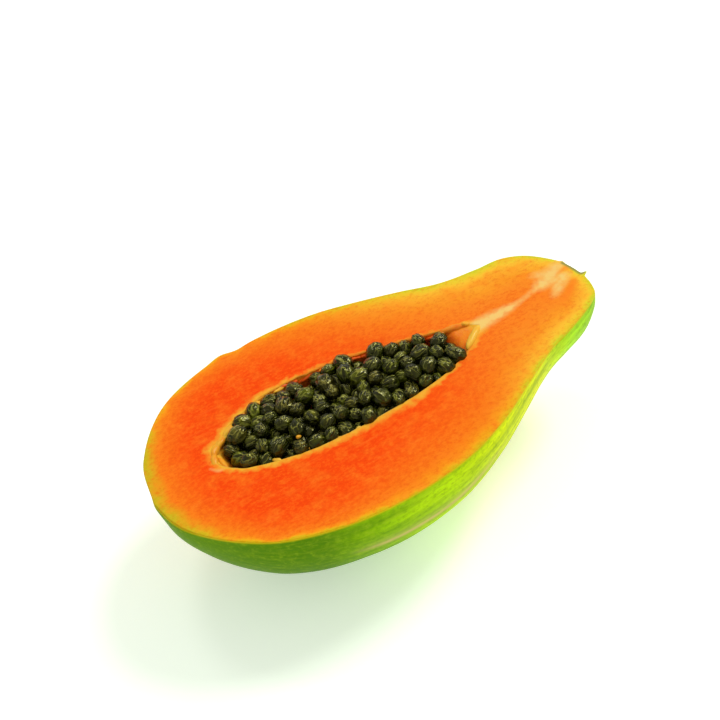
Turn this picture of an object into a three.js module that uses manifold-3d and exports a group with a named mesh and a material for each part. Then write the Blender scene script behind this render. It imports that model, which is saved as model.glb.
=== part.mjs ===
// Half of a small pear-shaped papaya, cut lengthwise and lying on its back,
// with the heap of seeds in its hollow.
// Millimetres. X runs from the blossom end to the stem end, Y across the cut face, +Z up.
// The origin is the middle of the small flat spot that the half rests on.
import * as THREE from 'three';
import { mergeVertices } from 'three/addons/utils/BufferGeometryUtils.js';
import Module from 'manifold-3d';

// Outline of the cut face: distance from the blossom end, middle of the fruit there, half width.
const OUTLINE = [
  [0, 0, 0], [2.5, 2.4, 14.5], [6, 2.6, 22.4], [12, 3.1, 31.2], [20, 3.2, 39.3], [30, 2.4, 45.8],
  [45, 1.6, 51], [60, 0.4, 53], [75, -0.3, 53.2], [90, -0.9, 51.4], [105, -1.5, 47.2],
  [120, -1, 41], [135, 0.5, 33.2], [150, 3.7, 27.4], [160, 5.2, 24.9], [168, 4.8, 20.7],
  [174, 2.9, 15.2], [177.3, 1.4, 10.6], [178.8, 0.8, 5], [179.3, 0.6, 0],
];
// Outline of the hollow's rim, in the same terms.
const HOLLOW = [
  [25.5, 7, 0], [27.5, 6.2, 4.6], [32, 4.8, 8.6], [38, 5.4, 12.4], [48, 5.7, 16], [58, 5.5, 18.1],
  [68, 5.1, 18.5], [78, 4.5, 18.2], [90, 3.4, 16.8], [102, 2.3, 14.6], [114, 1.4, 11.3],
  [123, 1.9, 8.2], [130, 2.8, 4.9], [135, 3.8, 0],
];

const DEPTH_SHARE = 0.97; // depth below the cut over half width, in the belly
const END_DEPTH_SHARE = 1.2; // the same, at the blunt stem end
const END_FROM = 158; // where the share starts to rise, from the blossom end
const END_AT = 174;
const HOLLOW_DEPTH_SHARE = 1.08;
const REST_X = 68.5; // the flat spot's middle, from the blossom end
const CUT_HEIGHT = 50; // cut face above the surface that the half lies on
const RIBS = 5; // the fruit grew from five joined carpels, which still show as soft ribs
const RIB_RISE = 0.012; // rib height over radius
const HOLLOW_RIB_RISE = 0.045;
const SEGMENTS = 44; // facets round the whole fruit
const HOLLOW_SEGMENTS = 32;
const STEPS = 2; // rings between two stations of an outline

// A low knuckle and the dent beside it, on the far rim of the cut.
const KNUCKLE = { x: 49, rise: 1.1, width: 4.5 };
const DENT = { x: 55.5, rise: -0.7, width: 4 };

// Scar of the stalk that broke off at the stem end: a ragged collar round a shallow pit.
const SCAR = { x: 178.2, y: 7.5, lean: 0.24, collar: 5.8, pit: 4.8, rise: 0.3, depth: 0.6, sides: 17 };

// Seeds
const SEED_COUNT = 104;
const SEED_LENGTH = 7.1;
const SEED_WIDTH = 6.1;
const SEED_SIDES = 7;
const SEED_BANDS = 4;
const SEED_SPREAD = 0.12; // largest change in size from seed to seed
const SEED_TRIES = 24; // places tried for each seed, of which the loneliest is kept
const SEED_ROOM = 5.9; // nearest that the middles of two seeds come
const SETTLE_ROUNDS = 40; // times that crowded seeds push each other apart
const RIM_GAP = 2.8; // seed's middle to the hollow's rim
const HEAP_FROM = 33.5; // where the heap starts and ends, from the blossom end
const HEAP_TO = 123.5;
const HEAP_HIGH = 1.1; // highest and lowest that a seed's middle lies, against the cut face
const HEAP_LOW = -3.4;
const HEAP_FALL = 1.4; // how much lower the seeds lie along the rim
const CORE_TOP = -4; // the packed seeds that the others stand out of
const CORE_INSET = 1.3;
const CLEARANCE = 0.4; // seeds to flesh
const RANDOM_SEED = 20611;

const SLIVER = 0.08; // facets thinner than this are merged into their neighbours

const wasm = await Module();
wasm.setup();

/** A closed three.js geometry as a solid. */
function solidOf(geometry) {
  const bare = geometry.index ? geometry.toNonIndexed() : geometry.clone();
  bare.deleteAttribute('normal');
  bare.deleteAttribute('uv');
  const merged = mergeVertices(bare, 1e-4);
  return new wasm.Manifold(new wasm.Mesh({
    numProp: 3,
    vertProperties: new Float32Array(merged.attributes.position.array),
    triVerts: new Uint32Array(merged.index.array),
  }));
}

/** A solid as a geometry for a mesh. */
function geometryOf(solid) {
  const mesh = solid.getMesh();
  const geometry = new THREE.BufferGeometry();
  geometry.setAttribute('position', new THREE.BufferAttribute(mesh.vertProperties, 3));
  geometry.setIndex(new THREE.BufferAttribute(mesh.triVerts, 1));
  const faceted = geometry.toNonIndexed();
  faceted.computeVertexNormals();
  return mergeVertices(faceted);
}

/** The largest piece of a solid, with any sealed pocket filled. */
function largestPiece(solid) {
  return solid.decompose().reduce((best, piece) => (piece.volume() > best.volume() ? piece : best));
}

/** Points along an outline, each holding distance, middle and half width. */
function along(stations, steps) {
  const curve = new THREE.CatmullRomCurve3(stations.map((station) => new THREE.Vector3(...station)));
  return curve.getPoints((stations.length - 1) * steps);
}

/** Middle and half width of an outline at a distance from the blossom end. */
function widthAt(points, x) {
  const after = points.findIndex((point) => point.x >= x);
  if (after <= 0) return { middle: 0, half: 0 };
  const [a, b] = [points[after - 1], points[after]];
  const share = (x - a.x) / (b.x - a.x);
  return {
    middle: a.y + share * (b.y - a.y),
    half: a.z + share * (b.z - a.z),
  };
}

/** A bump along the fruit, as a height at a distance from the blossom end. */
function bump({ x, rise, width }, at) {
  return rise * Math.exp(-(((at - x) / width) ** 2));
}

/**
 * A turned body whose rings follow an outline, ribbed and pressed to a share of their width.
 * extra gives a further rise of the surface at a distance and an angle, 0 being the far rim.
 */
function turnedBody(points, segments, depthShareAt, ribRise, extra = () => 0) {
  const profile = points.map((point) => new THREE.Vector2(Math.max(0, point.z), point.x));
  const geometry = new THREE.LatheGeometry(profile, segments);
  const position = geometry.attributes.position;
  for (let i = 0; i < position.count; i += 1) {
    const ring = points[i % points.length];
    const angle = (Math.floor(i / points.length) / segments) * 2 * Math.PI;
    const radius = Math.max(0, ring.z);
    const ribbed = radius * (1 + ribRise * Math.sin(RIBS * angle)) + extra(ring.x, angle) * Math.sign(radius);
    const across = ring.y + ribbed * Math.cos(angle);
    const up = ribbed * Math.sin(angle) * depthShareAt(ring.x);
    position.setXYZ(i, ring.x, across, up);
  }
  return solidOf(geometry);
}

/** A box between two corners. */
function block(low, high) {
  const size = high.map((value, i) => value - low[i]);
  const geometry = new THREE.BoxGeometry(...size);
  geometry.translate(...low.map((value, i) => value + size[i] / 2));
  return solidOf(geometry);
}

/** A ragged short plug along the scar's axis, reaching from one distance out of the scar to another. */
function raggedPlug(radius, from, to) {
  const geometry = new THREE.CylinderGeometry(radius, radius, to - from, SCAR.sides, 1);
  geometry.translate(0, (from + to) / 2, 0);
  const position = geometry.attributes.position;
  for (let i = 0; i < position.count; i += 1) {
    const angle = Math.atan2(position.getZ(i), position.getX(i));
    const ragged = 1 + 0.08 * Math.sin(4 * angle + 1) + 0.05 * Math.sin(7 * angle);
    const torn = 0.2 * Math.sin(3 * angle) + 0.15 * Math.sin(5 * angle + 2);
    position.setXYZ(i, position.getX(i) * ragged, position.getY(i) + torn, position.getZ(i) * ragged);
  }
  geometry.rotateZ(SCAR.lean - Math.PI / 2);
  geometry.translate(SCAR.x, SCAR.y, 0);
  return solidOf(geometry);
}

/** Depth below the cut over half width, along the fruit. */
function depthShareAt(x) {
  const end = THREE.MathUtils.smoothstep(x, END_FROM, END_AT);
  return DEPTH_SHARE + end * (END_DEPTH_SHARE - DEPTH_SHARE);
}

/** The whole fruit's outside, before it is cut. */
function wholeFruit() {
  const farRim = (x, angle) => Math.max(0, Math.cos(angle)) ** 4 * (bump(KNUCKLE, x) + bump(DENT, x));
  const body = turnedBody(along(OUTLINE, STEPS), SEGMENTS, depthShareAt, RIB_RISE, farRim);
  const collar = raggedPlug(SCAR.collar, -3, SCAR.rise);
  return body.add(collar).subtract(raggedPlug(SCAR.pit, -SCAR.depth, 3));
}

/** The fruit cut lengthwise, with the hollow that the seeds lie in and a flat spot to rest on. */
function cutHalf() {
  const reach = 100;
  const lowerHalf = block([-reach, -reach, -CUT_HEIGHT], [reach * 3, reach, 0]);
  const hollow = turnedBody(along(HOLLOW, STEPS), HOLLOW_SEGMENTS, () => HOLLOW_DEPTH_SHARE, HOLLOW_RIB_RISE);
  return largestPiece(wholeFruit().intersect(lowerHalf).subtract(hollow));
}

/** Draws numbers from 0 to 1, the same ones in every run. */
function drawer(start) {
  let state = start;
  return () => {
    state = (state * 16807) % 2147483647;
    return state / 2147483647;
  };
}

/** Moves a seed back into the part of the hollow that the heap fills. */
function keepInHeap(place, rim) {
  place.x = THREE.MathUtils.clamp(place.x, HEAP_FROM, HEAP_TO);
  const { middle, half } = widthAt(rim, place.x);
  const room = Math.max(0.5, half - RIM_GAP);
  place.y = THREE.MathUtils.clamp(place.y, middle - room, middle + room);
  const fall = HEAP_FALL * Math.abs((place.y - middle) / room) ** 3;
  place.z = THREE.MathUtils.clamp(place.z, HEAP_LOW - fall, HEAP_HIGH - fall);
}

/** Pushes two seeds apart if they are closer than they have room for. */
function pushApart(a, b) {
  const wanted = SEED_ROOM * (a.scale + b.scale) / 2;
  const apart = Math.hypot(b.x - a.x, b.y - a.y, b.z - a.z);
  if (apart < wanted && apart > 0) {
    const push = (wanted - apart) / apart / 2;
    for (const axis of ['x', 'y', 'z']) {
      const step = push * (b[axis] - a[axis]);
      a[axis] -= step;
      b[axis] += step;
    }
  }
}

/** A random place for one seed, the loneliest of several. */
function lonelyPlace(places, rim, draw) {
  let best = null;
  for (let tries = 0; tries < SEED_TRIES; tries += 1) {
    const x = HEAP_FROM + (HEAP_TO - HEAP_FROM) * draw();
    const { middle, half } = widthAt(rim, x);
    const y = middle + (2 * draw() - 1) * (half - RIM_GAP);
    const alone = Math.min(60, ...places.map((place) => Math.hypot(place.x - x, place.y - y)));
    if (!best || alone > best.alone) best = { x, y, alone };
  }
  return best;
}

/** Where each seed lies, once crowded seeds have pushed each other apart. */
function seedPlaces() {
  const draw = drawer(RANDOM_SEED);
  const rim = along(HOLLOW, 8);
  const places = [];
  while (places.length < SEED_COUNT) {
    const { x, y } = lonelyPlace(places, rim, draw);
    places.push({
      x,
      y,
      z: HEAP_LOW + (HEAP_HIGH - HEAP_LOW) * draw(),
      scale: 1 + SEED_SPREAD * (2 * draw() - 1),
      turn: Math.PI * draw(),
      tilt: draw() - 0.5,
    });
  }
  for (let round = 0; round < SETTLE_ROUNDS; round += 1) {
    places.forEach((a, i) => places.slice(i + 1).forEach((b) => pushApart(a, b)));
    places.forEach((place) => keepInHeap(place, rim));
  }
  return places;
}

/** The hollow's own shape, shrunk all round. */
function insideHollow(inset) {
  const shrunk = along(HOLLOW, STEPS).map((point) => {
    const middleX = (HOLLOW[0][0] + HOLLOW[HOLLOW.length - 1][0]) / 2;
    const pulled = point.x + Math.sign(middleX - point.x) * inset;
    return new THREE.Vector3(pulled, point.y, Math.max(0, point.z - inset * Math.sign(point.z)));
  });
  const kept = shrunk.filter((point, i) => i === 0 || i === shrunk.length - 1 || point.z > 0.05);
  return turnedBody(kept, HOLLOW_SEGMENTS, () => HOLLOW_DEPTH_SHARE, HOLLOW_RIB_RISE);
}

/** The heap of seeds: single seeds that stand out of the packed ones under them. */
function seedHeap() {
  const reach = 100;
  const core = insideHollow(CORE_INSET).intersect(block([0, -reach, -reach], [reach * 2, reach, CORE_TOP]));
  const seeds = seedPlaces().map((place) => {
    const seed = new THREE.SphereGeometry(0.5, SEED_SIDES, SEED_BANDS);
    seed.rotateZ(Math.PI / 2);
    seed.scale(SEED_LENGTH * place.scale, SEED_WIDTH * place.scale, SEED_WIDTH * place.scale);
    seed.rotateY(place.tilt);
    seed.rotateZ(place.turn);
    seed.translate(place.x, place.y, place.z);
    return solidOf(seed);
  });
  const room = insideHollow(CLEARANCE).add(block([0, -reach, CLEARANCE], [reach * 2, reach, reach]));
  return largestPiece(wasm.Manifold.union([core, ...seeds]).intersect(room)).simplify(SLIVER);
}

function finish(color, roughness) {
  return new THREE.MeshStandardMaterial({ color, roughness, metalness: 0 });
}

const papaya = new THREE.Group();
papaya.position.set(-REST_X, 0, CUT_HEIGHT);

const half = new THREE.Mesh(geometryOf(cutHalf()), finish(0xf8741f, 0.45));
half.name = 'papaya_half';
papaya.add(half);

const seeds = new THREE.Mesh(geometryOf(seedHeap()), finish(0x20260f, 0.25));
seeds.name = 'seeds';
papaya.add(seeds);

const part = new THREE.Group();
part.add(papaya);

export default part;
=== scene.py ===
"""Dresses the halved papaya: skin, cut flesh and hollow, the heap of seeds and the folds they hung from."""

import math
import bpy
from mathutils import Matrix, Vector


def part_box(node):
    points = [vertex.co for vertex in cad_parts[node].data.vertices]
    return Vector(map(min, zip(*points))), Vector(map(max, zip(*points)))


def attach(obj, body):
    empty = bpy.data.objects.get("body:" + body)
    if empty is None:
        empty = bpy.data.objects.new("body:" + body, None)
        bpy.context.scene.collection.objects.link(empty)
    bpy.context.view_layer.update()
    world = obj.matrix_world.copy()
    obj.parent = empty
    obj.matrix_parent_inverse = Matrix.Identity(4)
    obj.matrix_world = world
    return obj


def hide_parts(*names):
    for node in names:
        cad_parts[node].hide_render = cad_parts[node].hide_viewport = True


bl_info = {
    "name": "Halved papaya",
    "version": (1, 0, 0),
    "blender": (4, 5, 0),
    "location": "3D View > Sidebar > Papaya",
    "description": "Builds a halved papaya with its seeds on a pale studio floor",
    "category": "Add Mesh",
}

import bpy
import numpy as np
from bpy.props import FloatProperty, FloatVectorProperty, IntProperty, PointerProperty
from bpy.types import Operator, Panel, PropertyGroup
from mathutils import Matrix, Vector, noise

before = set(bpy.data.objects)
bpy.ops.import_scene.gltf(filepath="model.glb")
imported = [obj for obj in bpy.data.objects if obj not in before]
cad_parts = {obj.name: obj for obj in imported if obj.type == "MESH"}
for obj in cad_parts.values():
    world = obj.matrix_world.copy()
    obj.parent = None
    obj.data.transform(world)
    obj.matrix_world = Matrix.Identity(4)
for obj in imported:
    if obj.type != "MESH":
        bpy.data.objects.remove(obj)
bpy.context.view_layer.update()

MM = 0.001

# Shapes are given in mm in the fruit's own frame: x along it from the blossom end, y across it towards
# the far side, z up from the cut.

# Outline of the cut face: distance from the blossom end, middle of the fruit there, half width.
OUTLINE = [
    (0, 0, 0), (2.5, 2.4, 14.5), (6, 2.6, 22.4), (12, 3.1, 31.2), (20, 3.2, 39.3), (30, 2.4, 45.8),
    (45, 1.6, 51), (60, 0.4, 53), (75, -0.3, 53.2), (90, -0.9, 51.4), (105, -1.5, 47.2),
    (120, -1, 41), (135, 0.5, 33.2), (150, 3.7, 27.4), (160, 5.2, 24.9), (168, 4.8, 20.7),
    (174, 2.9, 15.2), (177.3, 1.4, 10.6), (178.8, 0.8, 5), (179.3, 0.6, 0),
]
# Outline of the hollow's rim, in the same terms.
HOLLOW = [
    (25.5, 7, 0), (27.5, 6.2, 4.6), (32, 4.8, 8.6), (38, 5.4, 12.4), (48, 5.7, 16), (58, 5.5, 18.1),
    (68, 5.1, 18.5), (78, 4.5, 18.2), (90, 3.4, 16.8), (102, 2.3, 14.6), (114, 1.4, 11.3),
    (123, 1.9, 8.2), (130, 2.8, 4.9), (135, 3.8, 0),
]
# Where the fruit rests, and the middle of its hollow
REST_X = 68.5
CENTRE = np.array([78.0, 4.0])
# Depth over half width: of the fruit, of its stalk end and of the hollow. The fruit's changes to that of its
# end between END_FROM and END_AT.
DEPTH_SHARE = 0.97
END_DEPTH_SHARE = 1.2
END_FROM = 158
END_AT = 174
HOLLOW_DEPTH_SHARE = 1.08
# The skin's lengthwise ribs, a knuckle and a dent in its far rim (place, rise, width), and its swollen tip
RIBS = 5
RIB_RISE = 0.012
KNUCKLE = (49, 1.1, 4.5)
DENT = (55.5, -0.7, 4)
TIP_SWELL = 0.7
# The stalk's scar: a raised collar, a pit, and a horn of dry skin at the near end of its edge
SCAR_MIDDLE = np.array([178.2, 7.5, 0.0])
SCAR_LEAN = 0.24
SCAR_COLLAR = 5.8
SCAR_PIT = 4.8
SCAR_RISE = 0.5
SCAR_DEPTH = 0.6
SCAR_HORN = np.array([178.4, 2.2, 0.0])
SCAR_HORN_RISE = 1.3

# Mesh density of the half: points between two stations of an outline, columns, and loops. Columns are closer
# near the scar, and loops are closer near the rims.
FINE = 48
ROUND = 512
SCAR_CROWDING = 1.6
SCAR_REACH = 9
SKIN_LOOPS = 62
SKIN_CROWDING = 1.5
CUT_LOOPS = 58
WALL_LOOPS = 44
WALL_CROWDING = 1.4

# Pale strand from the hollow to the stalk, the hazy lobes that it ends in, and a small stroke at the
# hollow's other tip: distance from the blossom end, place across, half width, strength.
STRANDS = [
    [(131, 3.4, 2.6, 1.0), (135, 3.6, 3.0, 1.0), (139.3, 3.9, 3.0, 0.95), (144, 4.0, 2.5, 0.9),
     (147.2, 4.1, 2.2, 0.85), (150.5, 4.3, 1.8, 0.65), (154, 4.7, 1.5, 0.45), (158, 5.7, 1.5, 0.4),
     (161.4, 6.4, 2.0, 0.55), (164.8, 7.2, 3.2, 0.8), (168.9, 9.0, 3.7, 0.85), (173.3, 11.4, 3.1, 0.7),
     (175.8, 12.2, 2.4, 0.5)],
    [(167, 10.5, 3.0, 0.6), (166, 12.8, 2.5, 0.48), (163.5, 13.8, 1.9, 0.25)],
    [(166.5, 6.8, 2.9, 0.65), (170, 6, 2.6, 0.62), (172.8, 5.6, 2.8, 0.68), (171.2, 4, 2.7, 0.68),
     (167.6, 1.2, 2.5, 0.6), (164.6, -1.4, 1.9, 0.3)],
    [(23.2, 2.2, 0.7, 0.35), (25.4, -0.4, 0.9, 0.45), (27.4, -1.0, 0.7, 0.25)],
]
# Orange wedges between the lobes, in the same terms.
WEDGES = [
    [(176, 9.4, 1.0, 0.6), (171.8, 8.4, 0.8, 0.4)],
    [(174.6, 1.2, 1.3, 0.7), (170.5, -2.4, 1.7, 0.9), (166.2, -5.4, 1.4, 0.5)],
    [(165, 2.8, 0.9, 0.5), (162, 1.6, 1.2, 0.5)],
]
# How wide the yellow zone under the skin is along the fruit, over its usual width.
BAND = [(0, 1.3), (15, 0.9), (28, 0.5), (45, 0.5), (60, 0.65), (75, 1.0), (90, 1.35), (105, 1.4),
        (125, 1.1), (145, 0.85), (165, 0.7), (180, 0.65)]
# How pale the lining is along the hollow's two rims: distance from the blossom end, strength.
FAR_LINING = [
    (24, 0.75), (36, 0.85), (50, 0.6), (66, 0.4), (78, 0.15), (96, 0.08), (116, 0.1), (130, 0.15),
    (136, 0.9),
]
NEAR_LINING = [
    (24, 0.7), (32, 0.65), (44, 0.75), (56, 0.75), (70, 0.8), (86, 1.0), (96, 0.95), (110, 0.5),
    (127, 0.15), (136, 0.9),
]
# Where the flesh turns from the belly's red-orange to the neck's lighter orange
NECK_FROM = 92
NECK_TO = 150

# The heap of seeds: places tried for each, room round it, rounds of pushing apart, gap to the rim, ends,
# highest and lowest middle, fall at the rim, spread of sizes
SEED_TRIES = 24
SEED_ROOM = 5.9
SETTLE_ROUNDS = 40
RIM_GAP = 2.8
HEAP_FROM = 33.5
HEAP_TO = 120.5
HEAP_HIGH = 1.1
HEAP_LOW = -3.4
HEAP_FALL = 1.4
SEED_SPREAD = 0.12
RANDOM_SEED = 20611
THREAD_RANDOM_SEED = 31
# The seeds under the heap: their number, highest and lowest middle
UNDER_COUNT = 70
UNDER_HIGH = -6.5
UNDER_LOW = -8.0
# Groups of threads: from, to, side of the hollow (1 is far), number, inset from the rim, lowest place, size,
# tone. Tone 0 is cream, 1 is red-orange.
THREADS = [
    (33, 60, 1, 7, (0.5, 1.0), -1.8, 1.9, 0.4),
    (60, 124, 1, 22, (0.3, 1.1), -2.2, 1.7, 0.85),
    (60, 84, -1, 4, (0.3, 0.7), -1.6, 1.3, 0.3),
]
# Single folds of the lining: middle, length, thickness, turn in degrees, tone.
FOLDS = [
    (130.3, -0.2, -0.5, 13.5, 3.2, 38, 0.24),
    (126, 9.0, -0.8, 11, 2.8, -17, 0.6),
    (131.4, 7.4, -0.1, 3.2, 1.8, -24, 0.4),
    (26.3, 5.8, -0.7, 6.6, 2.6, 72, 0.5),
    (28.4, 3.4, -1.6, 7.0, 2.2, 96, 0.55),
    (28.2, 9.9, -0.9, 7.2, 3.0, 48, 0.5),
    (31.3, 12.6, -1.0, 8.0, 2.8, 38, 0.45),
    (36.2, 15.8, -1.0, 8.4, 2.8, 32, 0.35),
    (44.7, -8.5, -0.6, 3.4, 1.6, -40, 0.2),
    (57, -10.9, -0.9, 5.5, 1.5, -14, 0.25),
    (55.6, -4.6, 0.7, 2.4, 1.5, 20, 0.4),
]

# Lights: the direction that each comes from, and its width in degrees
KEY_LIGHT = ((0.72, 0.12, 0.8), 20)
BACK_LIGHT = ((0.1, 0.5, 0.88), 14)
FILL_LIGHT = ((-0.2, -0.5, 0.8), 90)

# Camera: its place in metres, the directions to its right, up and backward, lens and film width in mm
CAMERA_PLACE = (-0.0918, -0.4002, 0.4495)
CAMERA_RIGHT = (0.8696, -0.4448, -0.2145)
CAMERA_UP = (0.4538, 0.5487, 0.7021)
CAMERA_BACK = (-0.1946, -0.7079, 0.6790)
LENS = 80
FILM = 36


def linear(code):
    """An sRGB hex colour as linear red, green and blue."""
    parts = [int(code[i:i + 2], 16) / 255 for i in (1, 3, 5)]
    return tuple(c / 12.92 if c <= 0.04045 else ((c + 0.055) / 1.055) ** 2.4 for c in parts)


def smooth(low, high, value):
    """0 at low, 1 at high, an S curve between them and level beyond. Low may be the larger."""
    share = np.clip((np.asarray(value, float) - low) / (high - low), 0, 1)
    return share * share * (3 - 2 * share)


class PapayaHalf(PropertyGroup):
    """Sizes and colours of the cut half."""

    height: FloatProperty(
        name="Height", description="Cut face above the floor", unit="LENGTH", subtype="DISTANCE",
        default=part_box("papaya_half")[1][2])
    edge: FloatProperty(
        name="Edge", description="Rounding of the cut's edges", unit="LENGTH", subtype="DISTANCE",
        default=0.3 * MM)
    tear: FloatProperty(
        name="Tear", description="Raggedness of the hollow's rim", unit="LENGTH", subtype="DISTANCE",
        default=0.5 * MM)
    flesh: FloatVectorProperty(
        name="Flesh", description="Ripe flesh deep under the cut", subtype="COLOR", default=linear("#F84E08"))
    lining: FloatVectorProperty(
        name="Lining", description="Pale lining of the hollow", subtype="COLOR", default=linear("#F0B234"))
    skin: FloatVectorProperty(
        name="Skin", description="Darker green stripes of the skin", subtype="COLOR",
        default=linear("#4E7C0C"))


class PapayaSeeds(PropertyGroup):
    """Number, sizes and colours of the seeds."""

    count: IntProperty(name="Seeds", description="Seeds on top of the heap", default=104, min=1)
    length: FloatProperty(
        name="Length", description="Length of a seed in its jelly", unit="LENGTH", subtype="DISTANCE",
        default=7.3 * MM)
    width: FloatProperty(
        name="Width", description="Width of a seed in its jelly", unit="LENGTH", subtype="DISTANCE",
        default=6.1 * MM)
    wrinkle: FloatProperty(
        name="Wrinkle", description="Depth of the wrinkles", unit="LENGTH", subtype="DISTANCE",
        default=0.34 * MM)
    dark: FloatVectorProperty(
        name="Seed coat", description="Dark seed coat", subtype="COLOR", default=linear("#0A0E02"))
    jelly: FloatVectorProperty(
        name="Jelly", description="Olive jelly round the seed", subtype="COLOR", default=linear("#78820E"))


class PapayaThreads(PropertyGroup):
    """Sizes of the folds and threads that the seeds hung from."""

    length: FloatProperty(
        name="Length", description="Usual length of a thread", unit="LENGTH", subtype="DISTANCE",
        default=3 * MM)
    width: FloatProperty(
        name="Width", description="Usual thickness of a thread", unit="LENGTH", subtype="DISTANCE",
        default=1.2 * MM)
    waviness: FloatProperty(
        name="Waviness", description="How far a thread wanders", unit="LENGTH", subtype="DISTANCE",
        default=1.2 * MM)


class PapayaStage(PropertyGroup):
    """The floor and the light."""

    reach: FloatProperty(
        name="Floor", description="Half the floor's width", unit="LENGTH", subtype="DISTANCE", default=6.0)
    sky: FloatProperty(name="Sky", description="Strength of the even white light", default=0.5, min=0)
    key: FloatProperty(name="Key light", description="Strength of the main light", default=1.7, min=0)
    back: FloatProperty(name="Back light", description="Strength of the light behind", default=0.34, min=0)
    fill: FloatProperty(name="Fill light", description="Strength of the wide light", default=0.25, min=0)
    glow: FloatProperty(name="Glow", description="Strength of the floor's own light", default=0.39, min=0)


def along(stations, steps):
    """Points along an outline: a centripetal Catmull-Rom curve through the stations."""
    points = np.array(stations, float)
    spans = len(points) - 1
    curve = []
    for i in range(spans * steps + 1):
        place = i / steps
        k = int(place)
        weight = place - k
        if k == spans:
            k, weight = spans - 1, 1.0
        before = points[k - 1] if k > 0 else 2 * points[0] - points[1]
        after = points[k + 2] if k + 2 <= spans else 2 * points[-1] - points[-2]
        a, b = points[k], points[k + 1]
        gap_0, gap_1, gap_2 = (np.sum((q - p) ** 2) ** 0.25 for p, q in ((before, a), (a, b), (b, after)))
        leave = ((a - before) / gap_0 - (b - before) / (gap_0 + gap_1) + (b - a) / gap_1) * gap_1
        reach = ((b - a) / gap_1 - (after - a) / (gap_1 + gap_2) + (after - b) / gap_2) * gap_1
        curve.append(a + weight * leave + weight ** 2 * (3 * (b - a) - 2 * leave - reach)
                     + weight ** 3 * (2 * (a - b) + leave + reach))
    return np.array(curve)


def width_at(curve, x):
    """Middle and half width of an outline at a distance from the blossom end."""
    return np.interp(x, curve[:, 0], curve[:, 1]), np.interp(x, curve[:, 0], np.maximum(curve[:, 2], 0))


def bump(shape, x):
    """A low bump along the fruit."""
    middle, rise, width = shape
    return rise * np.exp(-((x - middle) / width) ** 2)


def noise_at(points, size, seed=0.0):
    """Smooth noise from -1 to 1 at points in mm, with features of a size in mm."""
    shift = Vector((seed, 2.3 * seed, -1.7 * seed))
    return np.array([noise.noise(Vector(p) / size + shift) for p in points])


def rim_rays():
    """Directions from the middle of the hollow, evenly spaced on the rim and denser at the stalk's scar."""
    curve = along(OUTLINE, FINE)
    far = np.column_stack([curve[:, 0], curve[:, 1] + curve[:, 2]])
    near = np.column_stack([curve[:, 0], curve[:, 1] - curve[:, 2]])[::-1]
    rim = np.vstack([far, near[1:]])
    steps = np.linalg.norm(np.diff(rim, axis=0), axis=1)
    middles = (rim[1:] + rim[:-1]) / 2
    from_scar = np.linalg.norm(middles - SCAR_MIDDLE[:2], axis=1)
    crowding = 1 + SCAR_CROWDING * np.exp(-(from_scar / SCAR_REACH) ** 2)
    weight = np.concatenate([[0], np.cumsum(steps * crowding)])
    samples = np.arange(ROUND) / ROUND * weight[-1]
    x = np.interp(samples, weight, rim[:, 0]) - CENTRE[0]
    y = np.interp(samples, weight, rim[:, 1]) - CENTRE[1]
    return np.arctan2(y, x)


def reach_along(stations, angles):
    """How far an outline is from the middle of the hollow in each direction."""
    curve = along(stations, FINE)
    rim = np.vstack([
        np.column_stack([curve[:, 0], curve[:, 1] + curve[:, 2]]),
        np.column_stack([curve[:, 0], curve[:, 1] - curve[:, 2]])[::-1][1:-1],
    ]) - CENTRE
    around = np.arctan2(rim[:, 1], rim[:, 0])
    order = np.argsort(around)
    return np.interp(angles, around[order], np.hypot(*rim.T)[order], period=2 * math.pi)


def depth_share(x):
    """Depth below the cut over half width, along the fruit."""
    return DEPTH_SHARE + smooth(END_FROM, END_AT, x) * (END_DEPTH_SHARE - DEPTH_SHARE)


def hollow_share(x):
    """Depth of the hollow over its half width, the same all along it."""
    return np.full_like(x, HOLLOW_DEPTH_SHARE)


def bowl(stations, angles, share_at, loops, crowding):
    """Loops of points over the underside of an outline, from its rim to its lowest point."""
    curve = along(stations, FINE)
    reach = reach_along(stations, angles)
    inward = np.cos(np.linspace(0, math.pi / 2, 500))
    inward[-1] = 0
    fractions = (np.arange(loops) / loops) ** crowding
    grid = np.zeros((loops + 1, len(angles), 3))
    for k, angle in enumerate(angles):
        x = CENTRE[0] + inward * reach[k] * math.cos(angle)
        y = CENTRE[1] + inward * reach[k] * math.sin(angle)
        middle, half = width_at(curve, x)
        z = -share_at(x) * np.sqrt(np.maximum(0, half ** 2 - (y - middle) ** 2))
        z[0] = 0
        line = np.column_stack([x, y, z])
        length = np.concatenate([[0], np.cumsum(np.linalg.norm(np.diff(line, axis=0), axis=1))])
        for axis in range(3):
            grid[:loops, k, axis] = np.interp(fractions * length[-1], length, line[:, axis])
        grid[loops, k] = line[-1]
    return grid


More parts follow.
